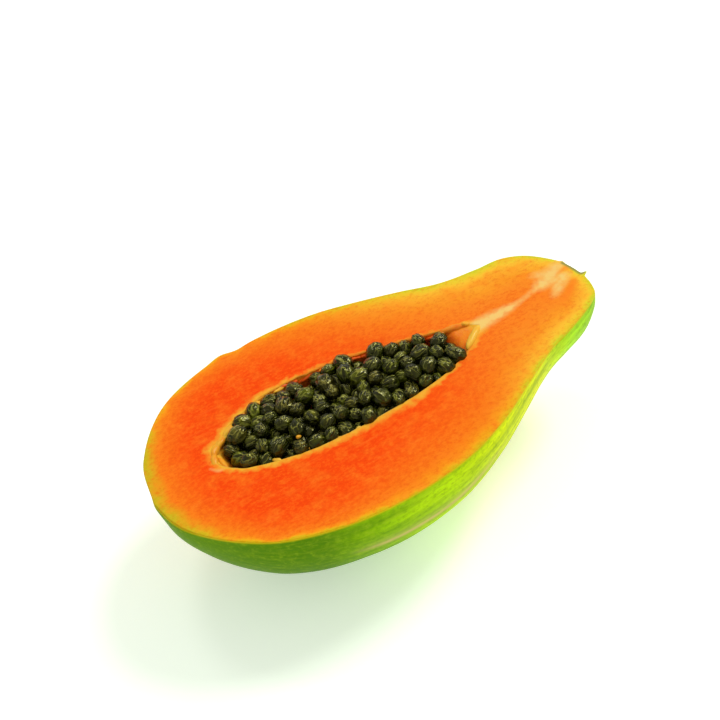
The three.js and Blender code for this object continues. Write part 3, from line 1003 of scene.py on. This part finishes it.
def scatter_tree(name, detail):
    """Geometry Nodes that put a wrinkled or wavy drop on every point, no two of them alike."""
    tree = bpy.data.node_groups.new(name, "GeometryNodeTree")
    tree.is_modifier = True
    face = tree.interface
    face.new_socket("Geometry", in_out="INPUT", socket_type="NodeSocketGeometry")
    sizes = {}
    for label, value in (("Length", 7.1 * MM), ("Width", 6.1 * MM), ("Wrinkle depth", 0.28 * MM),
                         ("Wrinkle size", 1.5 * MM), ("Waviness", 0.0), ("Wave size", 3 * MM)):
        socket = face.new_socket(label, in_out="INPUT", socket_type="NodeSocketFloat")
        socket.subtype = "DISTANCE"
        socket.default_value = value
        sizes[label] = socket.identifier
    chosen = face.new_socket("Material", in_out="INPUT", socket_type="NodeSocketMaterial")
    sizes["Material"] = chosen.identifier
    face.new_socket("Geometry", in_out="OUTPUT", socket_type="NodeSocketGeometry")

    given = add_node(tree, "NodeGroupInput").outputs
    ball = add_node(tree, "GeometryNodeMeshIcoSphere", {"Radius": 0.5, "Subdivisions": detail})
    size = add_node(tree, "ShaderNodeCombineXYZ", {
        "X": given["Length"], "Y": given["Width"], "Z": given["Width"]})
    egg = add_node(tree, "GeometryNodeTransform", {
        "Geometry": ball.outputs["Mesh"], "Scale": size.outputs[0]})

    # Each vertex keeps its place on its own seed, drawn out lengthwise, for the wrinkles to follow
    spot = add_node(tree, "GeometryNodeInputPosition")
    drawn = add_node(tree, "ShaderNodeVectorMath", {0: spot.outputs[0], 1: (0.4, 1.0, 1.0)},
                     operation="MULTIPLY")
    marked = add_node(tree, "GeometryNodeStoreNamedAttribute", {
        "Geometry": egg.outputs[0], "Name": "grain", "Value": drawn.outputs[0]},
        data_type="FLOAT_VECTOR", domain="POINT")
    turn = add_node(tree, "GeometryNodeInputNamedAttribute", {"Name": "turn"}, data_type="FLOAT_VECTOR")
    scale = add_node(tree, "GeometryNodeInputNamedAttribute", {"Name": "size"}, data_type="FLOAT_VECTOR")
    spin = add_node(tree, "FunctionNodeEulerToRotation", {"Euler": turn.outputs["Attribute"]})
    laid = add_node(tree, "GeometryNodeInstanceOnPoints", {
        "Points": given["Geometry"], "Instance": marked.outputs[0], "Rotation": spin.outputs[0],
        "Scale": scale.outputs["Attribute"]})
    real = add_node(tree, "GeometryNodeRealizeInstances", {"Geometry": laid.outputs[0]})

    # The turn shifts that place, so that no two seeds have the same wrinkles
    local = add_node(tree, "GeometryNodeInputNamedAttribute", {"Name": "grain"}, data_type="FLOAT_VECTOR")
    own = add_node(tree, "ShaderNodeVectorMath", {
        0: turn.outputs["Attribute"], 1: (0.03, 0.03, 0.03), 2: local.outputs["Attribute"]},
        operation="MULTIPLY_ADD")
    grain = add_node(tree, "GeometryNodeStoreNamedAttribute", {
        "Geometry": real.outputs[0], "Name": "grain", "Value": own.outputs[0]},
        data_type="FLOAT_VECTOR", domain="POINT")
    # The normal's upward share is stored as rise; the seed material paints its top light and crest highlights
    # by it
    normal = add_node(tree, "GeometryNodeInputNormal")
    facing = add_node(tree, "ShaderNodeSeparateXYZ", {0: normal.outputs[0]})
    lit = add_node(tree, "GeometryNodeStoreNamedAttribute", {
        "Geometry": grain.outputs[0], "Name": "rise", "Value": facing.outputs["Z"]}, domain="POINT")

    # Wrinkles push the surface in and out, and waves sway it
    kept = add_node(tree, "GeometryNodeInputNamedAttribute", {"Name": "grain"}, data_type="FLOAT_VECTOR")
    fineness = calc(tree, "DIVIDE", 1.0, given["Wrinkle size"])
    lumps = add_node(tree, "ShaderNodeTexNoise", {
        "Vector": kept.outputs["Attribute"], "Scale": fineness, "Detail": 1.0})
    swell = calc(tree, "SUBTRACT", lumps.outputs["Fac"], 0.5)
    depth = calc(tree, "MULTIPLY", calc(tree, "MULTIPLY", swell, 4.0), given["Wrinkle depth"])
    push = add_node(tree, "ShaderNodeVectorMath", {0: normal.outputs[0], "Scale": depth}, operation="SCALE")
    place = add_node(tree, "GeometryNodeInputPosition")
    slowness = calc(tree, "DIVIDE", 1.0, given["Wave size"])
    waves = add_node(tree, "ShaderNodeTexNoise", {
        "Vector": place.outputs[0], "Scale": slowness, "Detail": 2.0})
    level = add_node(tree, "ShaderNodeVectorMath", {0: waves.outputs["Color"], 1: (0.5, 0.5, 0.5)},
                     operation="SUBTRACT")
    sway = add_node(tree, "ShaderNodeVectorMath", {0: level.outputs[0], "Scale": given["Waviness"]},
                    operation="SCALE")
    both = add_node(tree, "ShaderNodeVectorMath", {0: push.outputs[0], 1: sway.outputs[0]}, operation="ADD")
    shaped = add_node(tree, "GeometryNodeSetPosition", {
        "Geometry": lit.outputs[0], "Offset": both.outputs[0]})
    soft = add_node(tree, "GeometryNodeSetShadeSmooth", {"Geometry": shaped.outputs[0]})
    painted = add_node(tree, "GeometryNodeSetMaterial", {
        "Geometry": soft.outputs[0], "Material": given["Material"]})
    add_node(tree, "NodeGroupOutput", {"Geometry": painted.outputs[0]})
    return tree, sizes


def grow(name, places, detail, values):
    """A plain mesh of drops at their places: point, size, turn and tone of each."""
    points = bpy.data.meshes.new(name)
    points.from_pydata((to_row(places[:, :3]) * MM).tolist(), [], [])
    add_vector(points, "size", places[:, 3:6])
    add_vector(points, "turn", places[:, 6:9])
    add_attribute(points, "tone", places[:, 9])
    carrier = bpy.data.objects.new(name, points)
    bpy.context.scene.collection.objects.link(carrier)
    modifier = carrier.modifiers.new("Scatter", "NODES")
    tree, sizes = scatter_tree(name, detail)
    modifier.node_group = tree
    for label, value in values.items():
        modifier[sizes[label]] = value
    bpy.context.view_layer.update()
    grown = carrier.evaluated_get(bpy.context.evaluated_depsgraph_get())
    mesh = bpy.data.meshes.new_from_object(grown)
    bpy.data.objects.remove(carrier)
    return mesh


class PAPAYA_OT_half(Operator):
    """Builds the cut half: skin, cut face and hollow in one closed mesh"""

    bl_idname = "papaya.half"
    bl_label = "Cut half"

    def execute(self, context):
        settings = context.scene.papaya_half
        angles = rim_rays()
        skin = shape_skin(bowl(OUTLINE, angles, depth_share, SKIN_LOOPS, SKIN_CROWDING), settings)
        wall = shape_wall(bowl(HOLLOW, angles, hollow_share, WALL_LOOPS, WALL_CROWDING), settings)
        cut = cut_loops(skin[0], wall[0], settings)
        edge = settings.edge / MM
        skin[0, :, 2] = -edge
        wall[0, :, 2] = -edge
        loops = list(skin[::-1]) + list(cut) + list(wall)
        regions = [0] * (SKIN_LOOPS - 1) + [1] * (len(cut) + 1) + [2] * (WALL_LOOPS - 1)
        materials = [waxy_skin(settings), cut_flesh(settings), hollow_lining()]
        shift = to_row(np.zeros((1, 3)))[0]
        rows = [loop + shift for loop in loops]
        mesh, vertices = build_mesh("fruit_half", rows, regions, materials)
        paint_half(mesh, vertices - shift, skin[0], wall[0])
        finish_piece(mesh, "fruit_half", "papaya_half")
        return {"FINISHED"}


class PAPAYA_OT_seeds(Operator):
    """Builds the heap of seeds in the hollow"""

    bl_idname = "papaya.seeds"
    bl_label = "Seeds"

    def execute(self, context):
        settings = context.scene.papaya_seeds
        values = {"Length": settings.length, "Width": settings.width, "Wrinkle depth": settings.wrinkle,
                  "Material": jelly_seed(settings)}
        top = drops(seed_places(settings.count, HEAP_HIGH, HEAP_LOW, RANDOM_SEED))
        lean_on_rim(top)
        finish_piece(grow("seed_heap", top, 4, values), "seed_heap", "seeds")
        under = drops(seed_places(UNDER_COUNT, UNDER_HIGH, UNDER_LOW, RANDOM_SEED + 1))
        finish_piece(grow("lower_seeds", under, 3, values), "lower_seeds")
        return {"FINISHED"}


class PAPAYA_OT_threads(Operator):
    """Builds the folds and threads that the seeds hung from, along the hollow's rim"""

    bl_idname = "papaya.threads"
    bl_label = "Seed threads"

    def execute(self, context):
        settings = context.scene.papaya_threads
        values = {"Length": settings.length, "Width": settings.width, "Waviness": settings.waviness,
                  "Wrinkle depth": 0.12 * MM, "Material": seed_thread()}
        finish_piece(grow("seed_threads", thread_places(settings), 3, values), "seed_threads")
        return {"FINISHED"}


class PAPAYA_OT_stage(Operator):
    """Builds the pale floor, the soft lights and the camera"""

    bl_idname = "papaya.stage"
    bl_label = "Stage"

    def execute(self, context):
        settings = context.scene.papaya_stage
        scene = context.scene
        scene.view_settings.view_transform = "Standard"
        build_floor(settings.reach, settings.glow)
        light_world(settings.sky)
        add_light("key", *KEY_LIGHT, settings.key)
        add_light("back", *BACK_LIGHT, settings.back)
        add_light("fill", *FILL_LIGHT, settings.fill)
        scene.camera = add_camera()
        return {"FINISHED"}


def build_floor(reach, glow):
    """A wide matt white sheet that glows a little, as on a light table."""
    mesh = bpy.data.meshes.new("floor")
    corners = [(-reach, -reach, 0), (reach, -reach, 0), (reach, reach, 0), (-reach, reach, 0)]
    mesh.from_pydata(corners, [], [(0, 1, 2, 3)])
    material, tree = new_material("Matt white paper")
    place = add_node(tree, "ShaderNodeTexCoord").outputs["Object"]
    grain = clouds(tree, place, 2.5, 2.0)
    colour = colour_ramp(tree, grain, (0.0, (0.87, 0.94, 0.82)), (1.0, (0.89, 0.96, 0.84)))
    add_surface(tree, {
        "Base Color": colour, "Roughness": 0.9, "Specular IOR Level": 0.1,
        "Emission Color": (0.91, 0.98, 0.87, 1), "Emission Strength": glow})
    mesh.materials.append(material)
    floor = bpy.data.objects.new("floor", mesh)
    bpy.context.scene.collection.objects.link(floor)
    return floor


def light_world(strength):
    """Even white light from all round."""
    world = bpy.data.worlds.new("Studio")
    world.use_nodes = True
    tree = world.node_tree
    tree.nodes.clear()
    sky = add_node(tree, "ShaderNodeBackground", {"Color": (1, 1, 1, 1), "Strength": strength})
    add_node(tree, "ShaderNodeOutputWorld", {"Surface": sky.outputs[0]})
    bpy.context.scene.world = world


def add_light(name, place, width, strength):
    """A far soft light in a direction, some degrees wide."""
    light = bpy.data.lights.new(name, "SUN")
    light.angle = math.radians(width)
    light.energy = strength
    lamp = bpy.data.objects.new(name, light)
    lamp.location = place
    lamp.rotation_euler = (-Vector(place)).to_track_quat("-Z", "Y").to_euler()
    bpy.context.scene.collection.objects.link(lamp)


def add_camera():
    """The photograph's view: a short telephoto from above the near side, rolled a little."""
    lens = bpy.data.cameras.new("camera")
    lens.lens = LENS
    lens.sensor_width = FILM
    camera = bpy.data.objects.new("camera", lens)
    turn = Matrix((CAMERA_RIGHT, CAMERA_UP, CAMERA_BACK)).transposed().to_4x4()
    camera.matrix_world = Matrix.Translation(CAMERA_PLACE) @ turn
    bpy.context.scene.collection.objects.link(camera)
    return camera


class PAPAYA_PT_panel(Panel):
    """Sidebar panel with every step of the build"""

    bl_idname = "PAPAYA_PT_panel"
    bl_label = "Papaya"
    bl_space_type = "VIEW_3D"
    bl_region_type = "UI"
    bl_category = "Papaya"

    def draw(self, context):
        for operator in OPERATORS:
            self.layout.operator(operator.bl_idname)


GROUPS = {"papaya_half": PapayaHalf, "papaya_seeds": PapayaSeeds, "papaya_threads": PapayaThreads,
          "papaya_stage": PapayaStage}
OPERATORS = (PAPAYA_OT_half, PAPAYA_OT_seeds, PAPAYA_OT_threads, PAPAYA_OT_stage)


def register():
    """Makes the settings, the operators and the panel known to Blender."""
    for name, group in GROUPS.items():
        bpy.utils.register_class(group)
        setattr(bpy.types.Scene, name, PointerProperty(type=group))
    for operator in OPERATORS:
        bpy.utils.register_class(operator)
    bpy.utils.register_class(PAPAYA_PT_panel)


def unregister():
    """Takes them out again."""
    bpy.utils.unregister_class(PAPAYA_PT_panel)
    for operator in OPERATORS:
        bpy.utils.unregister_class(operator)
    for name, group in GROUPS.items():
        delattr(bpy.types.Scene, name)
        bpy.utils.unregister_class(group)


def main():
    """Builds the scene."""
    register()
    bpy.ops.papaya.half()
    bpy.ops.papaya.seeds()
    bpy.ops.papaya.threads()
    bpy.ops.papaya.stage()


if __name__ == "__main__":
    main()
